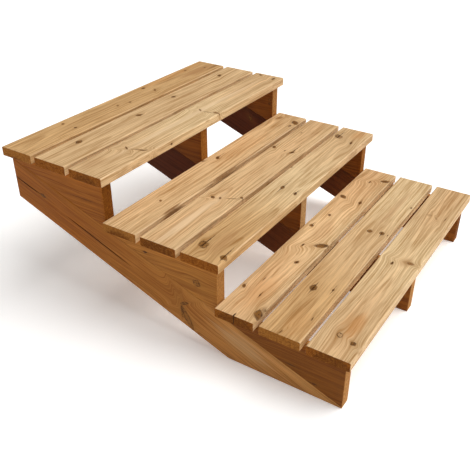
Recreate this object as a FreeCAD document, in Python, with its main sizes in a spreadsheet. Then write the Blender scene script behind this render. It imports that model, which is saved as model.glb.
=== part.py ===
"""Open-riser timber steps for a spa: three treads of three boards on three built-up carriages.

Each carriage is a sloping plank with three triangular step blocks dowelled along its upper edge.
The tread boards lie on the blocks and are held from below by screws driven up through the
blocks' inner faces, so no fixing shows from above.

Frame: +X to the right, +Y to the rear (the way up), +Z up, millimetres.
Origin: centre of the footprint, at ground level.
"""
import FreeCAD, Part
import os
import Sketcher

STEPS = ["bottom", "middle", "top"]
SIDES = ["left", "middle", "right"]
BOARDS = ["front", "middle", "rear"]

SIZES = [
    ("board_length", 1000, "tread boards, across the steps"),
    ("board_width", 120, "planed decking board"),
    ("board_thickness", 28, "planed decking board"),
    ("board_gap", 16, "drainage gap between two boards of a tread"),
    ("board_arris", 3, "radius on the four long edges of a board"),
    ("nosing", 15, "tread in front of the riser face of its own block"),
    ("riser_clearance", 1, "rear board to the riser face of the next block"),
    ("step_rise", 140, "from one tread to the next, and height of a block"),
    ("toe_height", 4, "upright front end of the carriage at the ground"),
    ("carriage_width", 123, "square to the pitch"),
    ("timber_thickness", 36, "carriages and blocks"),
    ("end_overhang", 15, "board ends outside the outer carriages"),
    ("rear_overhang", 19, "top tread behind the upright rear end of the carriages"),
    ("dowel_diameter", 10, "plain round dowel"),
    ("dowel_length", 60, "half in the block and half in the carriage"),
    ("dowel_chamfer", 1, "on both ends of a dowel"),
    ("dowel_end_room", 1, "beyond each end of a dowel in its hole"),
    ("dowel_setback", 110, "along the pitch, from a block's front corner to its first dowel"),
    ("dowel_spacing", 110, "along the pitch, between the two dowels of a block"),
    ("screw_length", 40, "under the head"),
    ("screw_diameter", 4, "shank"),
    ("screw_point", 6, "tapered end of the shank"),
    ("screw_head", 8, "head diameter"),
    ("screw_head_height", 2.5, "flat head"),
    ("screw_drive", 3, "drive socket diameter"),
    ("screw_drive_depth", 1.5, "drive socket depth"),
    ("screw_lean", 30, "degrees from upright"),
    ("screw_depth", 16, "underside of the head below the seat of the block"),
    ("screw_edge", 6, "head centre to the inner face of the block"),
    ("screw_clearance", 0.2, "round the screw, and beyond its point"),
    ("screw_pocket", 24, "length of the pocket below the head"),
    ("rear_screw_inset", 15, "screw of the rear board, from the front edge of that board"),
]

doc = FreeCAD.newDocument("spa_steps")
sheet = doc.addObject("Spreadsheet::Sheet", "sizes")
for row, (alias, value, meaning) in enumerate(SIZES, start=1):
    sheet.set(f"A{row}", alias)
    sheet.set(f"B{row}", str(value))
    sheet.set(f"C{row}", meaning)
    sheet.setAlias(f"B{row}", alias)
doc.recompute()

# Sizes that follow from the sheet, as expressions in its names.
TREAD_DEPTH = "(3 * sizes.board_width + 2 * sizes.board_gap)"
GOING = f"({TREAD_DEPTH} + sizes.riser_clearance - sizes.nosing)"
OVERALL_DEPTH = f"(2 * {GOING} + {TREAD_DEPTH})"
CARRIAGE_LENGTH = f"({OVERALL_DEPTH} - sizes.nosing - sizes.rear_overhang)"
TOP_BLOCK_LENGTH = f"({CARRIAGE_LENGTH} - 2 * {GOING})"
PITCH = f"atan(sizes.step_rise / {GOING})"
PITCH_LENGTH = f"sqrt({GOING} ^ 2 + sizes.step_rise ^ 2)"
RISER_FACE = f"(sizes.nosing - {OVERALL_DEPTH} / 2)"
SIDE_OFFSET = "(sizes.board_length / 2 - sizes.end_overhang - sizes.timber_thickness / 2)"
HEAD_OFFSET = "(sizes.timber_thickness / 2 - sizes.screw_edge)"

SIDE_X = {"left": f"(-{SIDE_OFFSET})", "middle": "(0)", "right": f"({SIDE_OFFSET})"}

# Screws enter on the inner face of the outer blocks and on the right face of the middle ones,
# so they lean to the left (-1) or to the right (+1) on their way up.
SCREW_LEAN = {"left": -1, "middle": -1, "right": 1}


def value_of(expression):
    """Return what a length expression comes to, as a plain number."""
    return float(sheet.evalExpression(expression))


def origin_plane(body, role):
    """Return one of a body's own origin planes."""
    return next(item for item in body.Origin.OriginFeatures if item.Role == role)


def bind(thing, bindings):
    """Bind properties of an object to expressions in the sheet's names."""
    for name, expression in bindings.items():
        thing.setExpression(name, expression)


def place(thing, x="0", y="0", z="0"):
    """Bind the position of an object."""
    bind(thing, {
        ".Placement.Base.x": x,
        ".Placement.Base.y": y,
        ".Placement.Base.z": z,
    })


def outline(body, name, role, points):
    """Sketch a closed outline through points given as pairs of expressions.

    Every corner is tied to the sketch's two axes, apart from the coordinates that are "0",
    which lie on an axis.
    """
    sketch = body.newObject("Sketcher::SketchObject", name)
    sketch.AttachmentSupport = [(origin_plane(body, role), "")]
    sketch.MapMode = "FlatFace"
    corners = [FreeCAD.Vector(value_of(across), value_of(up), 0) for across, up in points]
    for start, end in zip(corners, corners[1:] + corners[:1]):
        sketch.addGeometry(Part.LineSegment(start, end), False)
    count = len(points)
    for line in range(count):
        sketch.addConstraint(Sketcher.Constraint("Coincident", line, 2, (line + 1) % count, 1))
    for line, (across, up) in enumerate(points):
        for kind, axis, expression, length in (
            ("DistanceX", -2, across, corners[line].x),
            ("DistanceY", -1, up, corners[line].y),
        ):
            if expression == "0":
                sketch.addConstraint(Sketcher.Constraint("PointOnObject", line, 1, axis))
                continue
            tie = sketch.addConstraint(Sketcher.Constraint(kind, -1, 1, line, 1, length))
            sketch.setExpression(f"Constraints[{tie}]", expression)
    return sketch


def turned_cut(body, name, role, points, across, up, out, turn):
    """Cut a round hole whose axis lies in, or parallel to, one of the body's planes.

    The half outline is turned about its own upright axis, after it has been moved across, up and
    out of the plane and tilted in it.
    """
    sketch = outline(body, f"{name}_outline", role, points)
    bind(sketch, {
        ".AttachmentOffset.Base.x": across,
        ".AttachmentOffset.Base.y": up,
        ".AttachmentOffset.Base.z": out,
        ".AttachmentOffset.Rotation.Angle": turn,
    })
    doc.recompute()
    before = body.Shape.Volume
    groove = body.newObject("PartDesign::Groove", name)
    groove.Profile = sketch
    groove.ReferenceAxis = (sketch, ["V_Axis"])
    groove.Angle = 360
    doc.recompute()
    if not body.Shape.Volume < before:
        raise RuntimeError(f"{name} cuts nothing from {body.Label}")


def pad(body, name, profile, length):
    """Pad a sketch equally to both sides of its plane."""
    feature = body.newObject("PartDesign::Pad", name)
    feature.Profile = profile
    feature.SideType = "Symmetric"
    bind(feature, {"Length": length})
    doc.recompute()
    return feature


def screw_bore(body, name, side, y, seat):
    """Cut the clearance hole of one screw and the pocket that its head goes up."""
    shank = "(sizes.screw_diameter / 2 + sizes.screw_clearance)"
    head = "(sizes.screw_head / 2 + sizes.screw_clearance)"
    far_end = "(sizes.screw_length + sizes.screw_clearance)"
    points = [
        ("0", "-sizes.screw_pocket"),
        (head, "-sizes.screw_pocket"),
        (head, "0"),
        (shank, "0"),
        (shank, far_end),
        ("0", far_end),
    ]
    lean = SCREW_LEAN[side]
    x = f"-({lean}) * {HEAD_OFFSET}"
    if body.Label.endswith("board"):
        x = f"{SIDE_X[side]} + {x}"
    turned_cut(body, name, "XZ_Plane", points, x, f"{seat} - sizes.screw_depth",
               f"-({y})", f"-({lean}) * sizes.screw_lean * 1 deg")


def dowel_bore(body, name, along, pitch_start):
    """Cut the hole of one dowel, centred on the pitch line at a distance along it."""
    radius = "(sizes.dowel_diameter / 2)"
    reach = "(sizes.dowel_length / 2 + sizes.dowel_end_room)"
    points = [("0", f"-{reach}"), (radius, f"-{reach}"), (radius, reach), ("0", reach)]
    turned_cut(body, name, "YZ_Plane", points, f"{along} * cos({PITCH})",
               f"{pitch_start} + {along} * sin({PITCH})", "0", PITCH)


def dowel_place(number):
    """Return how far along a block's pitch edge one of its two dowels stands."""
    return f"(sizes.dowel_setback + {number} * sizes.dowel_spacing)"


def screw_place(position):
    """Return how far behind the nosing the screw of one board of a tread stands."""
    pitch_of_boards = "(sizes.board_width + sizes.board_gap)"
    if position == "rear":
        return f"(2 * {pitch_of_boards} + sizes.rear_screw_inset)"
    return f"({BOARDS.index(position)} * {pitch_of_boards} + sizes.board_width / 2)"


def tread_front(step):
    """Return the y of the nosing of one tread."""
    return f"({STEPS.index(step)} * {GOING} - {OVERALL_DEPTH} / 2)"


def seat_height(step):
    """Return the z of the seat of one step's blocks."""
    return f"(sizes.toe_height + {STEPS.index(step) + 1} * sizes.step_rise)"


def make_board(step, position):
    """Make one tread board: planed, with rounded long edges and three blind screw holes."""
    body = doc.addObject("PartDesign::Body", f"{step}_tread_{position}_board")
    profile = outline(body, "section", "YZ_Plane", [
        ("0", "0"),
        ("sizes.board_width", "0"),
        ("sizes.board_width", "sizes.board_thickness"),
        ("0", "sizes.board_thickness"),
    ])
    plank = pad(body, "plank", profile, "sizes.board_length")
    long_edges = [
        f"Edge{index}" for index, edge in enumerate(plank.Shape.Edges, start=1)
        if abs(edge.tangentAt(edge.FirstParameter).x) > 0.99
    ]
    arris = body.newObject("PartDesign::Fillet", "arris")
    arris.Base = (plank, long_edges)
    bind(arris, {"Radius": "sizes.board_arris"})
    doc.recompute()
    board_front = f"({BOARDS.index(position)} * (sizes.board_width + sizes.board_gap))"
    for side in SIDES:
        screw_bore(body, f"{side}_screw_hole", side, f"{screw_place(position)} - {board_front}", "0")
    place(body, y=f"{tread_front(step)} + {board_front}", z=seat_height(step))
    return body


def make_block(side, step):
    """Make one step block: a triangle with its long edge on the pitch, cut upright at the rear."""
    body = doc.addObject("PartDesign::Body", f"{side}_{step}_block")
    corners = [("0", "0"), ("0", "sizes.step_rise")]
    if step == "top":
        rear_height = f"{TOP_BLOCK_LENGTH} * sizes.step_rise / {GOING}"
        corners += [(TOP_BLOCK_LENGTH, "sizes.step_rise"), (TOP_BLOCK_LENGTH, rear_height)]
    else:
        corners += [(GOING, "sizes.step_rise")]
    pad(body, "block", outline(body, "side_view", "YZ_Plane", corners), "sizes.timber_thickness")
    for number in range(2):
        dowel_bore(body, f"dowel_hole_{number + 1}", dowel_place(number), "0")
    for position in BOARDS:
        screw_bore(body, f"{position}_screw_hole", side, f"{screw_place(position)} - sizes.nosing",
                   "sizes.step_rise")
    place(body, SIDE_X[side], f"{RISER_FACE} + {STEPS.index(step)} * {GOING}",
          f"{seat_height(step)} - sizes.step_rise")
    return body


def make_carriage(side):
    """Make one carriage: a plank on the pitch, cut level at the ground and upright at the rear."""
    body = doc.addObject("PartDesign::Body", f"{side}_carriage")
    slope = f"(sizes.step_rise / {GOING})"
    plumb_width = f"(sizes.carriage_width / cos({PITCH}))"
    rear_top = f"(sizes.toe_height + {CARRIAGE_LENGTH} * {slope})"
    corners = [
        ("0", "0"),
        ("0", "sizes.toe_height"),
        (CARRIAGE_LENGTH, rear_top),
        (CARRIAGE_LENGTH, f"{rear_top} - {plumb_width}"),
        (f"({plumb_width} - sizes.toe_height) / {slope}", "0"),
    ]
    pad(body, "plank", outline(body, "side_view", "YZ_Plane", corners), "sizes.timber_thickness")
    for index, step in enumerate(STEPS):
        for number in range(2):
            along = f"({index} * {PITCH_LENGTH} + {dowel_place(number)})"
            dowel_bore(body, f"{step}_dowel_hole_{number + 1}", along, "sizes.toe_height")
    place(body, SIDE_X[side], RISER_FACE)
    return body


def turned_body(name, points):
    """Make a round piece by turning a half outline about the upright axis."""
    body = doc.addObject("PartDesign::Body", name)
    feature = body.newObject("PartDesign::Revolution", "turning")
    feature.Profile = outline(body, "half_outline", "XZ_Plane", points)
    feature.ReferenceAxis = (feature.Profile[0], ["V_Axis"])
    feature.Angle = 360
    doc.recompute()
    return body


def make_dowel():
    """Make one dowel, centred on its own origin."""
    radius = "sizes.dowel_diameter / 2"
    neck = f"({radius} - sizes.dowel_chamfer)"
    half = "sizes.dowel_length / 2"
    shoulder = f"({half} - sizes.dowel_chamfer)"
    return turned_body("dowel", [
        ("0", f"-{half}"), (neck, f"-{half}"), (radius, f"-{shoulder}"),
        (radius, shoulder), (neck, half), ("0", half),
    ])


def make_screw():
    """Make one screw, pointing up, with the underside of its head at its own origin."""
    head = "sizes.screw_head / 2"
    shank = "sizes.screw_diameter / 2"
    return turned_body("screw", [
        ("0", "sizes.screw_drive_depth - sizes.screw_head_height"),
        ("sizes.screw_drive / 2", "sizes.screw_drive_depth - sizes.screw_head_height"),
        ("sizes.screw_drive / 2", "-sizes.screw_head_height"),
        (head, "-sizes.screw_head_height"),
        (head, "0"),
        (shank, "0"),
        (shank, "sizes.screw_length - sizes.screw_point"),
        ("0", "sizes.screw_length"),
    ])


def link_to(master, name, x, y, z, axis, turn):
    """Place one more copy of a fixing, turned about an axis of the frame."""
    link = doc.addObject("App::Link", name)
    link.LinkedObject = master
    link.Placement = FreeCAD.Placement(FreeCAD.Vector(), FreeCAD.Rotation(axis, 1))
    place(link, x, y, z)
    bind(link, {".Placement.Rotation.Angle": turn})
    return link


def group(name, links):
    """Gather copies of a fixing into one sub-part."""
    compound = doc.addObject("Part::Compound", name)
    compound.Links = links
    return compound


def make_dowels(master, side):
    """Place the six dowels that hold one carriage's blocks."""
    links = []
    for index, step in enumerate(STEPS):
        for number in range(2):
            along = f"({index} * {PITCH_LENGTH} + {dowel_place(number)})"
            links.append(link_to(
                master, f"{side}_{step}_dowel_{number + 1}", SIDE_X[side],
                f"{RISER_FACE} + {along} * cos({PITCH})",
                f"sizes.toe_height + {along} * sin({PITCH})",
                FreeCAD.Vector(1, 0, 0), PITCH,
            ))
    return group(f"{side}_dowels", links)


def make_screws(master, side):
    """Place the nine screws that hold the boards to one carriage's blocks."""
    lean = SCREW_LEAN[side]
    links = []
    for step in STEPS:
        for position in BOARDS:
            links.append(link_to(
                master, f"{side}_{step}_{position}_screw",
                f"{SIDE_X[side]} - ({lean}) * {HEAD_OFFSET}",
                f"{tread_front(step)} + {screw_place(position)}",
                f"{seat_height(step)} - sizes.screw_depth",
                FreeCAD.Vector(0, 1, 0), f"({lean}) * sizes.screw_lean * 1 deg",
            ))
    return group(f"{side}_screws", links)


subparts = [make_board(step, position) for step in STEPS for position in BOARDS]
subparts += [make_carriage(side) for side in SIDES]
subparts += [make_block(side, step) for side in SIDES for step in STEPS]
dowel = make_dowel()
subparts += [make_dowels(dowel, side) for side in SIDES]
screw = make_screw()
subparts += [make_screws(screw, side) for side in SIDES]
doc.recompute()

for item in doc.Objects:
    if "Invalid" in item.State or "Error" in item.State:
        raise RuntimeError(f"{item.Label} failed to compute")
for subpart in subparts:
    if subpart.Shape.isNull() or not subpart.Shape.isValid():
        raise RuntimeError(f"{subpart.Label} has no valid shape")

os.makedirs("parts", exist_ok=True)
for subpart in subparts:
    subpart.Shape.exportStep(f"parts/{subpart.Label}.step")
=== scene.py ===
"""Open-riser timber spa steps: planed pine boards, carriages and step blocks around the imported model."""
import math

import bmesh
import bpy
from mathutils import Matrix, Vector, noise


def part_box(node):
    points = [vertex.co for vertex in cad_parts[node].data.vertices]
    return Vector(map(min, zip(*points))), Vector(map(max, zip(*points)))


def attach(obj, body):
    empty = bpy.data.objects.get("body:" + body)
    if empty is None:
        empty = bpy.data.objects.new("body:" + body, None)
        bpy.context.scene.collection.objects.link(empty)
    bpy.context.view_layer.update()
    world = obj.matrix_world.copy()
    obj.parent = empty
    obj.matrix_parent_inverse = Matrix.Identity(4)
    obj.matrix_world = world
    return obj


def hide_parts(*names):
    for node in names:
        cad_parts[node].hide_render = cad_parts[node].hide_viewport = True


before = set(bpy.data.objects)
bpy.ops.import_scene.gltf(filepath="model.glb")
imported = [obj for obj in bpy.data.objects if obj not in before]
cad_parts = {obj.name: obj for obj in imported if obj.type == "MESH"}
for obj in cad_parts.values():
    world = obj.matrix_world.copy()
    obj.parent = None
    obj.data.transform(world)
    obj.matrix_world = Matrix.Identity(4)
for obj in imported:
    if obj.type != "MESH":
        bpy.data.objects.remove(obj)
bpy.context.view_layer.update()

STEPS = ["bottom", "middle", "top"]
SIDES = ["left", "middle", "right"]
BOARDS = ["front", "middle", "rear"]
MM = 0.001
X_AXIS = Vector((1, 0, 0))
Y_AXIS = Vector((0, 1, 0))
Z_AXIS = Vector((0, 0, 1))


# ---------------------------------------------------------------- node helpers

class Graph:
    """Short ways to add nodes to one tree. Any input may be a number, a tuple or another socket."""

    def __init__(self, tree):
        self.tree = tree

    def feed(self, socket, value):
        if isinstance(value, bpy.types.NodeSocket):
            self.tree.links.new(value, socket)
        else:
            socket.default_value = value

    def add(self, kind, inputs=(), **settings):
        node = self.tree.nodes.new(kind)
        for name, value in settings.items():
            setattr(node, name, value)
        for key, value in dict(inputs).items():
            self.feed(node.inputs[key], value)
        return node

    def math(self, operation, *values, clamp=False):
        node = self.add("ShaderNodeMath", operation=operation, use_clamp=clamp)
        for socket, value in zip(node.inputs, values):
            self.feed(socket, value)
        return node.outputs[0]

    def sum(self, *values):
        total = values[0]
        for value in values[1:]:
            total = self.math("ADD", total, value)
        return total

    def product(self, *values):
        total = values[0]
        for value in values[1:]:
            total = self.math("MULTIPLY", total, value)
        return total

    def larger(self, *values):
        total = values[0]
        for value in values[1:]:
            total = self.math("MAXIMUM", total, value)
        return total

    def step(self, value, start, end):
        """Smooth step: 0 where value is at start and 1 where it is at end."""
        inputs = {"Value": value, "From Min": start, "From Max": end}
        return self.add("ShaderNodeMapRange", inputs, interpolation_type="SMOOTHSTEP").outputs[0]

    def vector(self, operation, first, second):
        return self.add("ShaderNodeVectorMath", {0: first, 1: second}, operation=operation).outputs[0]

    def dot(self, first, second):
        node = self.add("ShaderNodeVectorMath", {0: first, 1: second}, operation="DOT_PRODUCT")
        return node.outputs["Value"]

    def combine(self, x, y, z):
        return self.add("ShaderNodeCombineXYZ", {"X": x, "Y": y, "Z": z}).outputs[0]

    def separate(self, vector):
        node = self.add("ShaderNodeSeparateXYZ", {"Vector": vector})
        return node.outputs["X"], node.outputs["Y"], node.outputs["Z"]

    def stretched(self, vector, scales, shift):
        """A vector with each axis scaled on its own, moved by shift along all three."""
        scaled = self.vector("MULTIPLY", vector, scales)
        return self.vector("ADD", scaled, self.combine(shift, shift, shift))

    def noise(self, vector, detail=2.0, roughness=0.5):
        """Noise centred on 0, from about -0.5 to 0.5."""
        inputs = {"Vector": vector, "Scale": 1.0, "Detail": detail, "Roughness": roughness}
        value = self.add("ShaderNodeTexNoise", inputs).outputs["Fac"]
        return self.math("SUBTRACT", value, 0.5)

    def mix(self, factor, first, second, blend="MIX"):
        node = self.add("ShaderNodeMix", data_type="RGBA", blend_type=blend, clamp_factor=True)
        self.feed(node.inputs["Factor"], factor)
        self.feed(node.inputs["A"], first)
        self.feed(node.inputs["B"], second)
        return node.outputs["Result"]

    def ramp(self, value, stops):
        """A colour that changes along value through (place, colour) stops."""
        node = self.add("ShaderNodeValToRGB", {"Fac": value})
        node.color_ramp.interpolation = "EASE"
        elements = node.color_ramp.elements
        while len(elements) < len(stops):
            elements.new(0.5)
        for element, (place, color) in zip(elements, stops):
            element.position = place
            element.color = color
        return node.outputs["Color"]


def new_group(name, inputs, outputs):
    """Start a node group. inputs and outputs are (name, kind) pairs."""
    tree = bpy.data.node_groups.new(name, "ShaderNodeTree")
    for direction, sockets in (("INPUT", inputs), ("OUTPUT", outputs)):
        for socket, kind in sockets:
            tree.interface.new_socket(name=socket, in_out=direction, socket_type=f"NodeSocket{kind}")
    graph = Graph(tree)
    return graph, graph.add("NodeGroupInput").outputs, graph.add("NodeGroupOutput").inputs


def tone(red, green, blue):
    """A colour given as 0 to 255 on a screen, as the linear values that shaders use."""
    return tuple(((v / 255 + 0.055) / 1.055) ** 2.4 for v in (red, green, blue)) + (1.0,)


# ---------------------------------------------------------------- wood

FIELDS = [("Core", "Float"), ("Bark", "Float"), ("Halo", "Float")]


def knot_group():
    """One knot: how it bends the grain round it, its core, its bark ring, its halo and its whiskers."""
    places = [("Spot", "Vector"), ("Wobble", "Float"), ("Centre", "Vector"), ("Radii", "Vector"),
              ("Turn", "Float"), ("Whiskers", "Vector"), ("Strength", "Vector")]
    g, given, made = new_group("knot", places + FIELDS, [("Spot", "Vector")] + FIELDS)
    wobble = given["Wobble"]
    core_strength, bark_strength, halo_strength = g.separate(given["Strength"])
    offset = g.vector("SUBTRACT", given["Spot"], given["Centre"])
    offset = g.vector("MULTIPLY", offset, (1.0, 1.0, 0.0))
    x, y, _ = g.separate(offset)
    turned = g.add("ShaderNodeVectorRotate", {"Vector": offset, "Angle": g.product(given["Turn"], -1.0)},
                   rotation_type="Z_AXIS").outputs[0]
    along, across, _ = g.separate(g.vector("DIVIDE", turned, given["Radii"]))
    along2 = g.product(along, along)
    across2 = g.product(across, across)
    away = g.math("SQRT", g.sum(along2, across2))
    corners = g.sum(g.math("ABSOLUTE", along), g.math("ABSOLUTE", across))
    edge = g.sum(g.product(away, 0.6), g.product(corners, 0.34), g.product(wobble, 1.3))
    core = g.product(g.step(edge, 1.08, 0.62), core_strength)
    ring = g.product(g.step(edge, 0.55, 0.9), g.step(edge, 1.2, 0.98), g.step(wobble, -0.22, 0.12))
    bark = g.product(ring, bark_strength)
    halo_fall = g.sum(g.product(along2, 0.10), g.product(across2, 0.30), 1.0)
    halo = g.math("DIVIDE", halo_strength, g.product(halo_fall, halo_fall))
    bend_fall = g.sum(g.product(along2, 0.16), across2, 1.1)
    bend = g.math("DIVIDE", g.product(y, -1.0), bend_fall)

    left, right, thick = g.separate(given["Whiskers"])
    reach = g.larger(g.math("DIVIDE", x, right), g.math("DIVIDE", g.product(x, -1.0), left))
    slim = g.product(thick, g.sum(1.06, g.product(reach, -1.0)))
    beside = g.math("ABSOLUTE", g.math("DIVIDE", g.sum(y, g.product(wobble, 0.004)), slim))
    whisker = g.product(g.step(reach, 1.0, 0.2), g.step(beside, 1.0, 0.2), g.step(wobble, -0.5, 0.1))

    g.feed(made["Spot"], g.vector("ADD", given["Spot"], g.combine(0.0, bend, 0.0)))
    g.feed(made["Core"], g.larger(given["Core"], core))
    g.feed(made["Bark"], g.larger(given["Bark"], bark, whisker))
    g.feed(made["Halo"], g.larger(given["Halo"], halo))
    return g.tree


# What a colour is multiplied by to darken it, to lift it, or to darken sawn end grain.
DARKEN = (0.58, 0.44, 0.27, 1.0)
LIFT = (1.5, 1.5, 1.5, 1.0)
DARKEN_END = (0.36, 0.26, 0.16, 1.0)
GRAIN_WANDER = 0.034  # how far the rings stray from straight, in metres


def timber_group():
    """Softwood with the grain along X: yearly rings round a pith line, heart, sap, fibres and streaks."""
    given_names = [
        ("Spot", "Vector"), ("Seed", "Float"), ("Pith", "Vector"), ("Ring", "Float"),
        ("Heart Radius", "Float"), ("Sap", "Color"), ("Heart", "Color"), ("Contrast", "Float"),
        ("Dash", "Float"),
    ]
    made_names = [("Color", "Color"), ("Height", "Float"), ("Late", "Float"), ("Heartwood", "Float"),
                  ("Blotch", "Float"), ("Streak", "Float")]
    g, given, made = new_group("timber", given_names, made_names)
    spot = given["Spot"]
    seed = given["Seed"]
    x, y, z = g.separate(spot)
    _, pith_y, pith_z = g.separate(given["Pith"])
    wander = g.noise(g.stretched(spot, (1.7, 5.0, 5.0), seed))
    wander_z = g.noise(g.stretched(spot, (1.1, 4.0, 4.0), g.sum(seed, 7.3)), detail=1.0)
    side = g.sum(y, g.product(wander, GRAIN_WANDER), g.product(pith_y, -1.0))
    deep = g.sum(z, g.product(wander_z, GRAIN_WANDER), g.product(pith_z, -1.0))
    radius = g.math("SQRT", g.sum(g.product(side, side), g.product(deep, deep)))
    uneven = g.noise(g.combine(g.product(radius, 90.0), seed, 0.0), detail=1.0)
    phase = g.sum(g.math("DIVIDE", radius, given["Ring"]), g.product(uneven, 1.6))
    year = g.math("FRACT", phase)
    late = g.product(g.step(year, 0.20, 0.88), g.step(year, 1.0, 0.93))

    fibre = g.noise(g.stretched(spot, (24.0, 900.0, 900.0), seed), detail=3.0, roughness=0.65)
    fine = g.noise(g.combine(g.product(x, 5.0), g.product(side, 190.0), g.sum(g.product(deep, 90.0), seed)),
                   detail=2.0, roughness=0.6)
    lines = g.sum(g.step(fine, -0.08, 0.10), -0.5)
    streak_spot = g.combine(g.product(x, 2.6), g.product(side, 110.0), g.sum(g.product(deep, 50.0), seed))
    streak = g.noise(streak_spot, detail=3.0, roughness=0.6)
    broad = g.noise(g.combine(g.product(x, 1.4), g.product(side, 34.0), g.sum(g.product(deep, 20.0), seed)),
                    detail=2.0)
    dash_spot = g.combine(g.product(x, 11.0), g.product(side, 260.0), seed)
    dash = g.step(g.noise(dash_spot, detail=1.0), 0.14, 0.30)
    blotch = g.noise(g.stretched(spot, (6.0, 22.0, 22.0), g.sum(seed, 2.0)), detail=4.0, roughness=0.6)
    ragged = g.sum(radius, g.product(streak, 0.012), g.product(blotch, 0.012),
                   g.product(given["Heart Radius"], -1.0))
    heartwood = g.step(ragged, 0.008, -0.008)

    base = g.mix(heartwood, given["Sap"], given["Heart"])
    shade = g.sum(g.product(late, given["Contrast"]), g.product(streak, 1.15), g.product(broad, 0.8),
                  g.product(lines, 0.62), g.product(fibre, 1.3), g.product(blotch, 0.6),
                  g.product(dash, given["Dash"]))
    dark = g.mix(1.0, base, DARKEN, "MULTIPLY")
    color = g.mix(g.larger(g.product(shade, 0.9), 0.0), base, dark)
    pale = g.mix(1.0, base, LIFT, "MULTIPLY")
    color = g.mix(g.larger(g.product(shade, -0.9), 0.0), color, pale)
    g.feed(made["Color"], color)
    height = g.sum(g.product(late, 0.45), g.product(fibre, 0.8), g.product(fine, 0.8),
                   g.product(dash, -0.5))
    for name, value in (("Height", height), ("Late", late), ("Heartwood", heartwood), ("Blotch", blotch),
                        ("Streak", streak)):
        g.feed(made[name], value)
    return g.tree


KNOT = knot_group()
TIMBER = timber_group()
# Wood, from pale to dark, as seen on a screen.
# A pale tone used as a painted highlight on the boards' upper arrises and as painted sheen bands on their
# tops.
PAINTED_SHEEN = tone(240, 210, 170)
PALE_PINE = tone(225, 195, 150)
STRAW_PINE = tone(215, 180, 135)
HONEY_PINE = tone(205, 165, 115)
TAN = tone(190, 135, 75)
AMBER = tone(170, 110, 45)
RUSSET = tone(155, 90, 25)
CHESTNUT = tone(130, 75, 20)
UMBER = tone(85, 40, 15)
ORANGE = tone(195, 130, 65)
BROWN_PATCH = tone(165, 115, 70)
DARK_STREAK = tone(120, 75, 30)
LIVE_KNOT = tone(150, 100, 40)
DEAD_KNOT = tone(90, 50, 10)
# Dark brown of bark rings and bark on wanes, and painted shade inside the drying and end checks.
BARK_AND_CHECK_SHADE = tone(60, 30, 5)
HALO = tone(155, 105, 45)


def knot(x, y, long, wide, turn=0, whiskers=(0, 0), core=0.9, bark=0.85, halo=0.4):
    """A knot: its place and half sizes in millimetres, its turn in degrees and its whisker lengths."""
    return {
        "Centre": (x * MM, y * MM, 0.0),
        "Radii": (long * MM, wide * MM, 1.0),
        "Turn": math.radians(turn),
        "Whiskers": (max(whiskers[0], 1) * MM, max(whiskers[1], 1) * MM, (0.8 + 0.24 * wide) * MM),
        "Strength": (core, bark, halo),
    }


def stain(x, y, long, wide, color, amount, streaky=1.0):
    """A soft patch of another colour, drawn out along the grain."""
    return (x * MM, y * MM), (long * MM, wide * MM), color, amount, streaky


def add_knots(g, spot, wobble, knots, fields):
    """Chain one knot group after another. Returns the bent spot and the knots' fields."""
    for given in knots:
        node = g.add("ShaderNodeGroup", {}, node_tree=KNOT)
        for key, value in {**given, **fields, "Spot": spot, "Wobble": wobble}.items():
            g.feed(node.inputs[key], value)
        spot = node.outputs["Spot"]
        fields = {key: node.outputs[key] for key in fields}
    return spot, fields


EDGE_KNOT_REACH = 4 * MM
FAR_SIDE_REACH = 14 * MM
HEART_TINT = (1.02, 0.98, 0.96, 1.0)
RIM_START = 5 * MM
RIM_END = 1.5 * MM
GRAIN_DEPTH = 0.5 * MM


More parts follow.
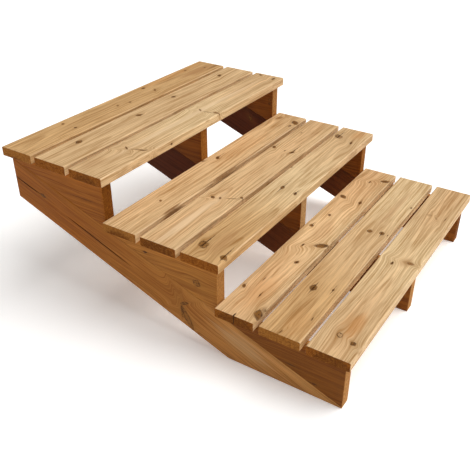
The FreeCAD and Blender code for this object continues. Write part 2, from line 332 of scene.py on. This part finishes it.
def wood(name, face, ends, knots=(), stains=(), seed=0.0, pith=(60, -40), heart=40, ring=4.2,
         contrast=0.4, grain=X_AXIS, across=Y_AXIS, length=1.0, gloss=0.1, edge_knots=(), rim=None, dash=0.6,
         far_side=None, far_end=None):
    """Planed pine. face is the colour of the long faces, ends the sap and heartwood of the sawn ones.

    face may be a list of colours from one end to the other.
    edge_knots lie on the front edge, as places along it and above the underside. rim is the width
    and thickness of a board whose upper arrises are lightened as a painted highlight. far_side is
    the colour of the face that looks along grain x across; the opposite face keeps face, darker as
    painted shade. far_end is the sapwood and heartwood of the sawn face that looks along the grain;
    the other sawn face keeps ends, darker partly as end grain's own tone and partly as painted shade.
    """
    material = bpy.data.materials.new(name)
    material.use_nodes = True
    g = Graph(material.node_tree)
    shader = material.node_tree.nodes["Principled BSDF"]
    place = g.add("ShaderNodeTexCoord")
    third = grain.cross(across)
    axes = (grain, across, third)
    given_spot = g.combine(*(g.dot(place.outputs["Object"], tuple(axis)) for axis in axes))
    wobble = g.noise(g.stretched(given_spot, (120.0, 170.0, 50.0), seed), detail=3.0)
    fields = {key: 0.0 for key, _ in FIELDS}
    spot, fields = add_knots(g, given_spot, wobble, knots, fields)
    x, y, z = g.separate(given_spot)
    if rim:
        width, thick = rim
        behind_edge = g.step(y, RIM_END, RIM_START)
        shown = g.larger(behind_edge, g.step(z, thick - 2 * RIM_START, thick - RIM_START))
        fields = {key: g.product(value, shown) for key, value in fields.items()}
    if edge_knots:
        near_edge = g.combine(x, g.sum(z, g.step(y, EDGE_KNOT_REACH, 2 * EDGE_KNOT_REACH)), 0.0)
        _, fields = add_knots(g, near_edge, wobble, edge_knots, fields)

    if isinstance(face, list):
        stops = [((i + 0.5) / len(face), color) for i, color in enumerate(face)]
        face = g.ramp(g.math("DIVIDE", x, length), stops)
    # Painted shade: the side opposite far_side keeps the darker face colour.
    if far_side:
        face = g.mix(g.step(z, -FAR_SIDE_REACH, FAR_SIDE_REACH), face, far_side)
    timber = g.add("ShaderNodeGroup", node_tree=TIMBER)
    for key, value in {
        "Spot": spot,
        "Seed": seed,
        "Pith": (0.0, pith[0] * MM, pith[1] * MM),
        "Ring": ring * MM,
        "Heart Radius": heart * MM,
        "Sap": face,
        "Heart": g.mix(1.0, face, HEART_TINT, "MULTIPLY"),
        "Contrast": contrast,
        "Dash": dash,
    }.items():
        g.feed(timber.inputs[key], value)

    color = timber.outputs["Color"]
    for centre, radii, patch, amount, streaky in stains:
        off_x = g.math("DIVIDE", g.sum(x, -centre[0]), radii[0])
        off_y = g.math("DIVIDE", g.sum(y, -centre[1]), radii[1])
        away = g.sum(g.math("SQRT", g.sum(g.product(off_x, off_x), g.product(off_y, off_y))),
                     g.product(timber.outputs["Streak"], 1.6 * streaky))
        color = g.mix(g.product(g.step(away, 1.05, 0.3), amount), color, patch)
    # Painted highlight: the upper long arrises are lightened towards a pale tone where they would catch the
    # light.
    if rim:
        long_edge = g.larger(g.step(y, RIM_START, RIM_END),
                             g.step(y, width - RIM_START, width - RIM_END))
        arris_highlight = g.product(long_edge, g.step(z, thick - RIM_START, thick - RIM_END),
                         g.step(timber.outputs["Blotch"], -0.2, 0.2), 0.45)
        color = g.mix(arris_highlight, color, PAINTED_SHEEN)

    color = g.mix(g.product(fields["Halo"], 0.6), color, HALO)
    knot_color = g.mix(g.sum(0.6, g.product(wobble, 2.0)), LIVE_KNOT, DEAD_KNOT)
    color = g.mix(fields["Core"], color, knot_color)
    color = g.mix(fields["Bark"], color, BARK_AND_CHECK_SHADE)

    cut = g.step(g.math("ABSOLUTE", g.dot(place.outputs["Normal"], tuple(grain))), 0.55, 0.85)
    pores = g.noise(g.stretched(given_spot, (60.0, 800.0, 800.0), seed), detail=3.0, roughness=0.65)
    saw = g.noise(g.stretched(given_spot, (10.0, 420.0, 14.0), seed), detail=2.0)
    end_color = g.mix(timber.outputs["Heartwood"], *ends)
    # Painted shade: the near sawn end keeps the darker ends colour, the far end takes far_end.
    if far_end:
        far_color = g.mix(timber.outputs["Heartwood"], *far_end)
        end_color = g.mix(g.step(x, 0.0, length), end_color, far_color)
    mottle = g.noise(g.stretched(given_spot, (60.0, 120.0, 160.0), seed), detail=3.0, roughness=0.7)
    end_shade = g.sum(g.product(timber.outputs["Late"], 0.4), g.product(pores, 1.5), g.product(saw, 0.7),
                      g.product(mottle, 2.6), 0.1)
    end_dark = g.mix(1.0, end_color, DARKEN_END, "MULTIPLY")
    end_color = g.mix(g.larger(end_shade, 0.0), end_color, end_dark)
    end_color = g.mix(g.larger(g.product(end_shade, -0.8), 0.0), end_color, ORANGE)
    end_color = g.mix(g.larger(fields["Core"], fields["Bark"]), end_color, BARK_AND_CHECK_SHADE)
    color = g.mix(cut, color, end_color)
    g.feed(shader.inputs["Base Color"], color)

    rough = g.sum(0.58, g.product(timber.outputs["Blotch"], 0.2), g.product(cut, 0.25),
                  g.product(fields["Core"], -0.08))
    g.feed(shader.inputs["Roughness"], rough)
    shader.inputs["Specular IOR Level"].default_value = gloss
    height = g.sum(timber.outputs["Height"], g.product(fields["Core"], 0.8),
                   g.product(fields["Bark"], -1.2), g.product(cut, g.sum(pores, saw), 1.2))
    bump = g.add("ShaderNodeBump", {"Height": height, "Strength": 0.7, "Distance": GRAIN_DEPTH})
    g.feed(shader.inputs["Normal"], bump.outputs["Normal"])
    return material


# ---------------------------------------------------------------- mesh helpers

TOUCHING = 1e-6
SHARP_ANGLE = 32


def sliced(mesh, normal, places):
    """Cut a mesh square to a direction at each place along it."""
    live = set(mesh.faces)
    for place in sorted(places):
        geometry = set(live)
        for face in live:
            geometry.update(face.edges)
            geometry.update(face.verts)
        cut = bmesh.ops.bisect_plane(
            mesh, geom=list(geometry), dist=TOUCHING, plane_co=normal * place, plane_no=normal)
        faces = [item for item in cut["geom"] if isinstance(item, bmesh.types.BMFace)]
        live = {face for face in faces
                if max(v.co.dot(normal) for v in face.verts) > place + TOUCHING}


def prism(outline, depth_axis, low, high):
    """A solid whose outline is a list of points in a plane, from low to high along depth_axis."""
    mesh = bmesh.new()
    bottom = [mesh.verts.new(point + depth_axis * low) for point in outline]
    top = [mesh.verts.new(point + depth_axis * high) for point in outline]
    mesh.faces.new(bottom[::-1])
    mesh.faces.new(top)
    count = len(outline)
    for i in range(count):
        mesh.faces.new((bottom[i], bottom[(i + 1) % count], top[(i + 1) % count], top[i]))
    return mesh


def ease(mesh, edges, radius, segments):
    """Round some edges."""
    bmesh.ops.bevel(mesh, geom=list(edges), offset=radius, offset_type="OFFSET", segments=segments,
                    profile=0.5, affect="EDGES", clamp_overlap=True)


def runs_along(edge, direction, limit=0.999):
    """Whether an edge is parallel to a direction."""
    line = edge.verts[1].co - edge.verts[0].co
    return abs(line.dot(direction)) > limit * line.length


def even(start, end, step):
    """Places between start and end, about a step apart, without the two ends."""
    count = max(1, round((end - start) / step))
    return [start + (end - start) * i / count for i in range(1, count)]


def finish_mesh(name, mesh, place, material, node):
    """Turn a bmesh into a piece that rides with the model and stands for one of its nodes."""
    data = bpy.data.meshes.new(name)
    bmesh.ops.recalc_face_normals(mesh, faces=mesh.faces)
    mesh.to_mesh(data)
    mesh.free()
    data.materials.append(material)
    data.shade_smooth()
    data.set_sharp_from_angle(angle=math.radians(SHARP_ANGLE))
    piece = bpy.data.objects.new(name, data)
    bpy.context.scene.collection.objects.link(piece)
    piece.location = place
    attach(piece, "root")
    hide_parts(node)
    return piece


# ---------------------------------------------------------------- tread boards

ARRIS = 3.2 * MM
SAWN_EDGE = 0.5 * MM
BOARD_SLICE = 10 * MM
BOARD_SLICE_ACROSS = 4 * MM
WANE_SLICE = 2.5 * MM
# Sapwood and heartwood of sawn ends with no painted shade: the boards' right ends and the carriages' ends.
FAR_END = (HONEY_PINE, TAN)

# Knots and stains are in millimetres from the left end and from the front edge of their board.
# face: one colour, or colours along the board. pith: across and above the underside.
# radius: how far from the pith the heartwood reaches.
# end is the sapwood of a board's left sawn end, darker than FAR_END partly as end grain's own tone and
# partly as painted shade.
BOARD_LOOKS = {
    "top_rear": dict(
        face=HONEY_PINE,
        end=AMBER, pith=(75, -60), radius=66, seed=1.0, dash=1.3,
        knots=[knot(223, 95, 6, 5, 30), knot(223, 41, 6, 5), knot(440, 57, 6, 4, 40), knot(489, 45, 5, 5),
               knot(623, 97, 9, 6), knot(632, 52, 8, 4, 45), knot(870, 92, 7, 4), knot(943, 52, 5, 3)],
        stains=[stain(890, 45, 110, 26, BROWN_PATCH, 0.55, 2.5), stain(800, 100, 240, 26, ORANGE, 0.35),
                stain(980, 30, 60, 10, DARK_STREAK, 0.5)]),
    "top_middle": dict(
        face=STRAW_PINE,
        end=RUSSET, pith=(40, -120), radius=60, seed=2.0,
        knots=[knot(148, 88, 13, 9, 10, halo=0.5), knot(413, 77, 12, 8, -25),
               knot(612, 88, 9, 7, 0, (0, 28)),
               knot(893, 84, 11, 7, 30)]),
    "top_front": dict(
        face=[STRAW_PINE, PALE_PINE, STRAW_PINE],
        end=RUSSET, pith=(58, -26), radius=54, seed=3.0,
        # The long pale stain is a painted sheen band.
        stains=[stain(520, 66, 500, 15, PAINTED_SHEEN, 0.55), stain(60, 90, 60, 26, BROWN_PATCH, 0.3)],
        knots=[knot(192, 75, 10, 3, 55), knot(201, 46, 18, 2, -58, halo=0.2), knot(208, 27, 11, 6, -55),
               knot(559, 71, 10, 3, 50), knot(557, 42, 16, 2, -75, halo=0.2),
               knot(566, 20, 11, 6, -60, bark=0.4),
               knot(985, 92, 10, 4, 50), knot(970, 28, 12, 5, 0, (12, 12))],
        edge_knots=[knot(310, 15, 5, 4)]),
    "middle_rear": dict(
        face=STRAW_PINE,
        end=AMBER, pith=(66, -60), radius=74, seed=4.0,
        knots=[knot(190, 63, 6, 4, 40), knot(480, 115, 9, 4, -40), knot(527, 90, 11, 6, 20, (10, 75)),
               knot(950, 90, 18, 11, -20, core=0.45, bark=0.1, halo=0.8),
               knot(941, 19, 20, 11, 40, halo=0.6),
               knot(902, 20, 10, 4, 0, (14, 10), core=0.5)],
        stains=[stain(640, 60, 200, 50, ORANGE, 0.18), stain(440, 3, 110, 9, DARK_STREAK, 0.8, 1.6),
                stain(165, 3, 50, 7, DARK_STREAK, 0.8, 1.2), stain(700, 3, 260, 6, DARK_STREAK, 0.35, 2.0)]),
    "middle_middle": dict(
        face=STRAW_PINE,
        end=RUSSET, pith=(62, -20), radius=58, seed=5.0,
        knots=[knot(292, 81, 8, 6, 50), knot(299, 61, 6, 4, 20), knot(316, 26, 22, 1.6, -62, halo=0.1),
               knot(336, 8, 6, 4), knot(707, 108, 11, 6, 30, (18, 70)), knot(700, 63, 4, 3),
               knot(700, 36, 11, 6, -30, (16, 110)), knot(870, 88, 7, 2, 0, (8, 8), core=0.4, bark=0.3)],
        # The pale stain is a painted sheen band.
        stains=[stain(150, 62, 210, 20, PAINTED_SHEEN, 0.55)]),
    "middle_front": dict(
        face=[HONEY_PINE, PALE_PINE, STRAW_PINE],
        end=RUSSET, pith=(30, -90), radius=84, seed=6.0,
        knots=[knot(63, 89, 18, 13, 35, (22, 92), core=0.75), knot(40, 14, 11, 10, 0, (34, 92)),
               knot(460, 72, 12, 6, 10, (80, 80)), knot(445, 21, 10, 5, 20, (14, 62)),
               knot(912, 95, 18, 13, 40, (34, 95), core=0.7), knot(883, 43, 11, 5, 0, (22, 40)),
               knot(600, 116, 5, 4)],
        stains=[stain(100, 50, 90, 26, BROWN_PATCH, 0.4), stain(960, 40, 60, 30, ORANGE, 0.35)]),
    "bottom_rear": dict(
        face=[STRAW_PINE, PALE_PINE, STRAW_PINE],
        end=RUSSET, pith=(60, -10), radius=55, seed=7.0,
        knots=[knot(127, 107, 9, 5, 30, (18, 26)), knot(41, 10, 19, 11, 20, halo=0.7),
               knot(308, 39, 9, 6, -20, (8, 18)),
               knot(402, 67, 8, 3, 0, (12, 14)), knot(427, 19, 20, 11, -55, core=0.85, halo=0.6),
               knot(519, 97, 8, 7, 30, (0, 40)), knot(610, 79, 7, 5, 20), knot(750, 95, 14, 9, 50),
               knot(740, 32, 10, 6, 0, (28, 36)), knot(901, 61, 8, 3, 0, (14, 14)),
               knot(935, 17, 16, 9, -60),
               knot(115, 41, 7, 2.5, 10, (28, 30), core=0.5),
               knot(185, 70, 9, 2, 0, (20, 24), core=0.4, bark=0.4)],
        stains=[stain(130, 55, 110, 44, ORANGE, 0.3), stain(500, 50, 90, 40, BROWN_PATCH, 0.3),
                # The first stain is painted shade in the end check; the second is bark on the wane.
                stain(4, 60, 14, 3.4, BARK_AND_CHECK_SHADE, 0.95, 0), stain(50, 6, 34, 8, BARK_AND_CHECK_SHADE, 0.5, 0.8)]),
    "bottom_middle": dict(
        face=[HONEY_PINE, STRAW_PINE, PALE_PINE],
        end=AMBER, pith=(50, -130), radius=90, seed=8.0,
        knots=[knot(223, 77, 15, 10, 10, (48, 50)), knot(243, 28, 7, 3, 0, (45, 50)),
               knot(587, 65, 10, 8, 0),
               knot(595, 29, 11, 8, 20, (42, 6)), knot(592, 12, 8, 2, 0, (8, 8), core=0.4, bark=0.4),
               knot(800, 7, 5, 3), knot(100, 20, 8, 2, 10, (14, 18), core=0.4, bark=0.3),
               knot(10, 62, 10, 3, -20, (8, 20), core=0.4, bark=0.3)],
        stains=[stain(60, 40, 80, 40, ORANGE, 0.22), stain(780, 50, 160, 18, BROWN_PATCH, 0.4, 2.2)]),
    "bottom_front": dict(
        face=[STRAW_PINE, PALE_PINE, STRAW_PINE],
        end=RUSSET, pith=(50, -24), radius=56, seed=9.0,
        knots=[knot(81, 67, 10, 8, 20, core=0.15, bark=0.8, halo=0.55), knot(69, 27, 8, 8, 60),
               knot(455, 75, 9, 4, 0, (12, 16)), knot(481, 29, 12, 8, 90, core=0.7, bark=0.3, halo=0.8),
               knot(787, 75, 9, 8, 0, core=0.3, bark=0.15, halo=0.3),
               knot(777, 52, 8, 3, 30, core=0.3, bark=0.2),
               knot(786, 24, 6, 1.5, 0, (28, 30), core=0.3, bark=0.5)],
        stains=[stain(140, 50, 70, 30, ORANGE, 0.5, 1.2), stain(480, 40, 40, 26, BROWN_PATCH, 0.35)]),
}


WANES = {  # from, to and depth in millimetres, along the upper front arris
    "middle_rear": [(362, 516, 4.6), (126, 204, 3.4), (560, 640, 2.2)],
    "bottom_rear": [(14, 72, 5.0)],
    "middle_front": [(18, 62, 3.5)],
}
END_CHECKS = {"bottom_rear": (60, 9)}  # place across the board and depth, in millimetres
CHECK_HALF_WIDTH = 1.3 * MM
CHECK_LIP = 0.9 * MM
WEAR = 1.0 * MM


def board_material(name, look, size):
    """Pine for one tread board."""
    return wood(name, look["face"], (look["end"], CHESTNUT), look["knots"],
                look.get("stains", ()), look["seed"], look["pith"], look["radius"], length=size.x,
                edge_knots=look.get("edge_knots", ()), rim=(size.y, size.z), dash=look.get("dash", 0.6),
                far_end=FAR_END)


def take_off_arris(mesh, corner, slope, depth_at):
    """Plane an arris along X away to a depth that changes along it."""
    for vertex in mesh.verts:
        missing = depth_at(vertex.co.x) - (vertex.co - corner).dot(slope)
        if missing > 0:
            vertex.co += slope * missing


def wane_depth(x, wanes, seed):
    """How much of the upper front arris is gone at x: everyday wear, or bark edge."""
    depth = WEAR * (1 + 0.9 * noise.noise(Vector((x * 22, seed, 0))))
    for start, end, deep in wanes:
        share = (x - start * MM) / ((end - start) * MM)
        if 0 < share < 1:
            ragged = 1 + 0.45 * noise.noise(Vector((x * 90, seed, 1)))
            depth = max(depth, deep * MM * min(1, 3.2 * math.sin(math.pi * share)) * ragged)
    return depth


def make_board(step, position):
    """One planed tread board with rounded long edges, sawn ends, wear and its own faults."""
    node = f"{step}_tread_{position}_board"
    key = f"{step}_{position}"
    look = BOARD_LOOKS[key]
    low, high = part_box(node)
    size = high - low
    corners = [Vector((x, y, 0)) for x, y in ((0, 0), (size.x, 0), (size.x, size.y), (0, size.y))]
    mesh = prism(corners, Z_AXIS, 0, size.z)
    ease(mesh, [e for e in mesh.edges if runs_along(e, X_AXIS)], ARRIS, 4)
    ease(mesh, [e for e in mesh.edges if not runs_along(e, X_AXIS)], SAWN_EDGE, 1)
    wanes = WANES.get(key, [])
    x_places = set(even(0, size.x, BOARD_SLICE))
    for start, end, _ in wanes:
        x_places.update(even(start * MM, end * MM, WANE_SLICE))
    y_places = set(even(0, size.y, BOARD_SLICE_ACROSS))
    if key in END_CHECKS:
        middle, deep = (value * MM for value in END_CHECKS[key])
        y_places = {y for y in y_places if abs(y - middle) > 2 * CHECK_HALF_WIDTH}
        y_places.update(middle + i * CHECK_HALF_WIDTH for i in (-1, 0, 1))
        x_places.update((CHECK_LIP, deep))
    sliced(mesh, Y_AXIS, y_places)
    sliced(mesh, Z_AXIS, even(0, size.z, BOARD_SLICE_ACROSS))
    sliced(mesh, X_AXIS, x_places)
    if key in END_CHECKS:
        for vertex in mesh.verts:
            if abs(vertex.co.y - middle) < CHECK_HALF_WIDTH / 2 and vertex.co.x < deep:
                vertex.co.x = deep * (0.75 + 0.25 * vertex.co.z / size.z)
    upper_front = Vector((0, 0, size.z))
    take_off_arris(mesh, upper_front, (Y_AXIS - Z_AXIS).normalized(),
                   lambda x: wane_depth(x, wanes, look["seed"]))
    upper_rear = Vector((0, size.y, size.z))
    take_off_arris(mesh, upper_rear, (-Y_AXIS - Z_AXIS).normalized(),
                   lambda x: wane_depth(x, [], look["seed"] + 0.5))
    material = board_material(f"{node}_pine", look, size)
    finish_mesh(f"{node}_piece", mesh, low, material, node)


for step in STEPS:
    for position in BOARDS:
        make_board(step, position)


# ---------------------------------------------------------------- carriages and blocks

def side_view(node):
    """The corners of a flat-sided node as seen from the side, as (y, z), going round once."""
    points = sorted({(round(v.co.y, 6), round(v.co.z, 6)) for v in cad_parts[node].data.vertices})

    def half(ordered):
        chain = []
        for point in ordered:
            while len(chain) > 1:
                (ay, az), (by, bz) = chain[-2], chain[-1]
                if (by - ay) * (point[1] - az) - (bz - az) * (point[0] - ay) > 1e-7:
                    break
                chain.pop()
            chain.append(point)
        return chain[:-1]

    return half(points) + half(points[::-1])


low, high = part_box("left_bottom_block")
PITCH = math.atan2(high[2] - low[2], high[1] - low[1])
ALONG_PITCH = Vector((0, math.cos(PITCH), math.sin(PITCH)))
ACROSS_PITCH = Vector((0, -math.sin(PITCH), math.cos(PITCH)))


# Drying checks in the outer face of the left carriage, in millimetres along and square to its pitch:
# where each starts and ends, as (along, across) pairs.
CHECKS = [((690, -61.7), (962, -58.5)), ((1060, -52.0), (1180, -58.0))]
CHECK_LINE = -58 * MM
CHECK_DEPTH = 6 * MM
CHECK_ROOM = 10 * MM
PLANK_SLICE = 12 * MM
PLANK_SLICE_ACROSS = 8 * MM
CHECKED_SLICE = 6 * MM
CARRIAGE_ARRIS = 1.2 * MM
BLOCK_ARRIS = 0.8 * MM


def open_checks(mesh, grain, across, half):
    """Open the drying checks in the -X face of a plank, along three of its lines of vertices."""
    for vertex in mesh.verts:
        line = vertex.co.dot(across) - CHECK_LINE
        if vertex.co.x > -half + 0.01 * MM or abs(line) > 1.2 * CHECK_HALF_WIDTH:
            continue
        place = vertex.co.dot(grain)
        for (start, first), (end, last) in CHECKS:
            share = (place / MM - start) / (end - start)
            if 0 < share < 1:
                middle = (first + (last - first) * share) * MM
                waver = 0.8 * MM * noise.noise(Vector((place * 60, 0, 3)))
                opening = min(1, 6 * share, 6 * (1 - share))
                vertex.co += across * (middle + waver - CHECK_LINE)
                if abs(line) < CHECK_HALF_WIDTH / 2:
                    vertex.co.x += CHECK_DEPTH * opening
                else:
                    vertex.co -= across * line * (1 - opening)


def make_plank(node, grain, across, material, arris, checked=False):
    """A flat-sided piece of timber, seen from the side in its true outline."""
    low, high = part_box(node)
    middle = (low.x + high.x) / 2
    origin = Vector((middle, low.y, low.z))
    outline = [Vector((0, y - origin.y, z - origin.z)) for y, z in side_view(node)]
    half = (high.x - low.x) / 2
    mesh = prism(outline, X_AXIS, -half, half)
    ease(mesh, list(mesh.edges), arris, 2)
    across_reach = [point.dot(across) for point in outline]
    places = even(min(across_reach), max(across_reach), PLANK_SLICE_ACROSS)
    if checked:
        places = [place for place in places if abs(place - CHECK_LINE) > CHECK_ROOM]
        places += [CHECK_LINE + i * CHECK_HALF_WIDTH for i in (-1, 0, 1)]
    sliced(mesh, across, places)
    grain_reach = [point.dot(grain) for point in outline]
    slice_length = CHECKED_SLICE if checked else PLANK_SLICE
    sliced(mesh, grain, even(min(grain_reach), max(grain_reach), slice_length))
    if checked:
        open_checks(mesh, grain, across, half)
    return finish_mesh(f"{node}_piece", mesh, origin, material, node)


# Knots and stains of a carriage are in millimetres along its pitch and square to it. Those of a
# block are in millimetres back from its riser and up from its lowest corner.
# The carriages' -X faces, along the pitch; their +X faces take TAN. The left carriage's outer face is darker
# than TAN as painted shade, and the inner faces of the middle and right ones are darker still, as painted
# shade under the treads.
OUTER_FACE = [TAN, AMBER, RUSSET]
PAINTED_SHADE_INNER_FACE = [CHESTNUT, UMBER, UMBER]
CARRIAGE_LOOKS = {
    "left": dict(seed=20.0, face=OUTER_FACE, knots=[
        knot(1052, -50, 10, 6, 0, (20, 30)), knot(504, -48, 15, 5, -46, halo=0.5),
        knot(506, -70, 14, 3, 70, halo=0.3), knot(478, -89, 40, 9, 42, core=0.45, bark=0.75, halo=0.6),
        knot(455, -113, 12, 7, 30)],
        stains=[stain(400, -100, 220, 26, ORANGE, 0.4, 2.0), stain(800, -20, 200, 22, RUSSET, 0.4),
                # These two narrow dark stains are painted shade along the drying checks.
                stain(826, -60, 150, 3.2, BARK_AND_CHECK_SHADE, 0.8, 0.1), stain(1120, -55, 66, 3.6, BARK_AND_CHECK_SHADE, 0.8, 0.1),
                # The pale honey stain is a painted glare.
                stain(300, -40, 120, 34, HONEY_PINE, 0.5)]),
    "middle": dict(seed=21.0, face=PAINTED_SHADE_INNER_FACE,
                   knots=[knot(300, -40, 9, 6, 20, (20, 30)), knot(760, -80, 11, 8, -30)], stains=[]),
    "right": dict(seed=22.0, face=PAINTED_SHADE_INNER_FACE,
                  knots=[knot(420, -60, 10, 7, 20, (20, 40)), knot(900, -30, 10, 7, 30)], stains=[]),
}
# The blocks' long faces that look towards -X: one tone, or tones from the riser backwards, darker than the
# TAN of their +X faces as painted shade; the middle and right blocks' tones deepen further back as painted
# shade under the treads.
PAINTED_SHADE_BLOCK_FACE = [CHESTNUT, UMBER, UMBER]
BLOCK_FACE = {"left_bottom": CHESTNUT, "left_middle": AMBER, "left_top": RUSSET}
# The blocks' sawn riser faces: the darker tones are partly the end grain's own and partly painted shade
# under the tread above.
RISER = {
    "left_bottom": TAN, "left_middle": TAN, "left_top": CHESTNUT,
    "middle_bottom": TAN, "middle_middle": HONEY_PINE, "middle_top": AMBER,
    "right_bottom": CHESTNUT, "right_middle": AMBER, "right_top": TAN,
}
BLOCK_KNOTS = {
    "left_middle": [knot(66, 73, 12, 11, 20, core=0.5, halo=0.6), knot(240, 110, 7, 4, 0, (20, 20))],
    "left_top": [knot(60, 74, 5, 1.5, 0, (56, 150), core=0.0, bark=0.0, halo=0.2)],
    "left_bottom": [knot(150, 70, 9, 3, 10, (40, 30), core=0.4, bark=0.4),
                    knot(80, 40, 7, 3, 0, (20, 60), core=0.4)],
    "middle_top": [knot(90, 80, 9, 7, 20)],
    "right_top": [knot(14, 92, 6, 4, 0), knot(14, 78, 6, 4, 0), knot(120, 90, 9, 6, 20)],
    "right_middle": [knot(110, 95, 10, 7, 0, (20, 20))],
}


for index, side in enumerate(SIDES):
    look = CARRIAGE_LOOKS[side]
    node = f"{side}_carriage"
    low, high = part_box(node)
    length = (high - low).dot(ALONG_PITCH)
    material = wood(f"{node}_pine", look["face"], FAR_END,
                    look["knots"], look["stains"], look["seed"], (-60, 4), 46, 4.6, grain=ALONG_PITCH,
                    across=ACROSS_PITCH, length=length, far_side=TAN)
    make_plank(node, ALONG_PITCH, ACROSS_PITCH, material, CARRIAGE_ARRIS,
               side == "left")
    for number, step in enumerate(STEPS):
        key = f"{side}_{step}"
        node = f"{key}_block"
        face = BLOCK_FACE.get(key, PAINTED_SHADE_BLOCK_FACE)
        riser = RISER[key]
        low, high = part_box(node)
        material = wood(f"{node}_pine", face, (riser, riser),
                        BLOCK_KNOTS.get(key, ()), (), 30.0 + 3 * index + number, (40 + 20 * number, 50), 30,
                        4.0, grain=Y_AXIS, across=Z_AXIS, length=high.y - low.y, far_side=TAN)
        make_plank(node, Y_AXIS, Z_AXIS, material, BLOCK_ARRIS)


# ---------------------------------------------------------------- fixings

STEEL = tone(196, 194, 188)
DULL_STEEL = tone(150, 148, 142)
BEECH = tone(214, 178, 130)
BEECH_END = tone(190, 150, 105)


def plain_metal():
    """Dull stainless steel."""
    material = bpy.data.materials.new("stainless")
    material.use_nodes = True
    g = Graph(material.node_tree)
    shader = material.node_tree.nodes["Principled BSDF"]
    spot = g.add("ShaderNodeTexCoord").outputs["Object"]
    scuff = g.noise(g.stretched(spot, (400, 400, 400), 0.0), detail=3.0)
    g.feed(shader.inputs["Base Color"], g.mix(g.step(scuff, -0.2, 0.3), STEEL, DULL_STEEL))
    g.feed(shader.inputs["Roughness"], g.sum(0.34, g.product(scuff, 0.3)))
    shader.inputs["Metallic"].default_value = 1.0
    return material


steel = plain_metal()
beech = wood("beech", BEECH, (BEECH_END, BEECH_END), seed=50.0, pith=(0, 0), heart=0, ring=1.5)
for side in SIDES:
    for kind, material in (("screws", steel), ("dowels", beech)):
        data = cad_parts[f"{side}_{kind}"].data
        data.materials.clear()
        data.materials.append(material)


# ---------------------------------------------------------------- floor, light and camera

FLOOR_GLOW = 0.3
FLOOR_REACH = 40.0


def make_floor():
    """A plain pale floor with a faint glow of its own, so that shadows on it stay light."""
    data = bpy.data.meshes.new("floor")
    corners = [(x * FLOOR_REACH, y * FLOOR_REACH, 0) for x, y in ((-1, -1), (1, -1), (1, 1), (-1, 1))]
    data.from_pydata(corners, [], [(0, 1, 2, 3)])
    floor = bpy.data.objects.new("floor", data)
    bpy.context.scene.collection.objects.link(floor)
    material = bpy.data.materials.new("pale_floor")
    material.use_nodes = True
    shader = material.node_tree.nodes["Principled BSDF"]
    shader.inputs["Base Color"].default_value = (0.97, 0.97, 0.97, 1.0)
    shader.inputs["Roughness"].default_value = 0.9
    shader.inputs["Specular IOR Level"].default_value = 0.1
    shader.inputs["Emission Color"].default_value = (1.0, 1.0, 1.0, 1.0)
    shader.inputs["Emission Strength"].default_value = FLOOR_GLOW
    data.materials.append(material)


KEY_DIRECTION = Vector((0.35, -0.45, 1.0))
KEY_STRENGTH = 3.25
KEY_SPREAD = 60
AMBIENT = 0.07
HORIZON = (0.22, 0.02)  # heights between which the sky turns to the pale horizon
HORIZON_GLOW = 0.8

make_floor()
lamp = bpy.data.lights.new("key", "SUN")
lamp.energy = KEY_STRENGTH
lamp.angle = math.radians(KEY_SPREAD)
lamp.color = (1.0, 0.99, 0.97)
key = bpy.data.objects.new("key", lamp)
key.rotation_euler = KEY_DIRECTION.to_track_quat("Z", "Y").to_euler()
bpy.context.scene.collection.objects.link(key)

world = bpy.data.worlds.new("studio")
world.use_nodes = True
sky = Graph(world.node_tree)
background = world.node_tree.nodes["Background"]
background.inputs["Color"].default_value = (1.0, 1.0, 1.0, 1.0)
_, _, height = sky.separate(sky.add("ShaderNodeTexCoord").outputs["Generated"])
glow = sky.product(sky.step(height, *HORIZON), HORIZON_GLOW)
sky.feed(background.inputs["Strength"], sky.sum(AMBIENT, glow))
bpy.context.scene.world = world
bpy.context.scene.view_settings.view_transform = "Standard"

CAMERA_PLACE = (-1.608, -0.964, 1.243)
CAMERA_AZIMUTH = -57.1
CAMERA_ELEVATION = 31.9
SENSOR = 36.0
FOCAL_LENGTH = 49.7

lens = bpy.data.cameras.new("camera")
lens.sensor_width = SENSOR
lens.lens = FOCAL_LENGTH
lens.clip_end = 200.0
camera = bpy.data.objects.new("camera", lens)
camera.location = CAMERA_PLACE
camera.rotation_euler = (math.radians(90 - CAMERA_ELEVATION), 0, math.radians(CAMERA_AZIMUTH))
bpy.context.scene.collection.objects.link(camera)
bpy.context.scene.camera = camera
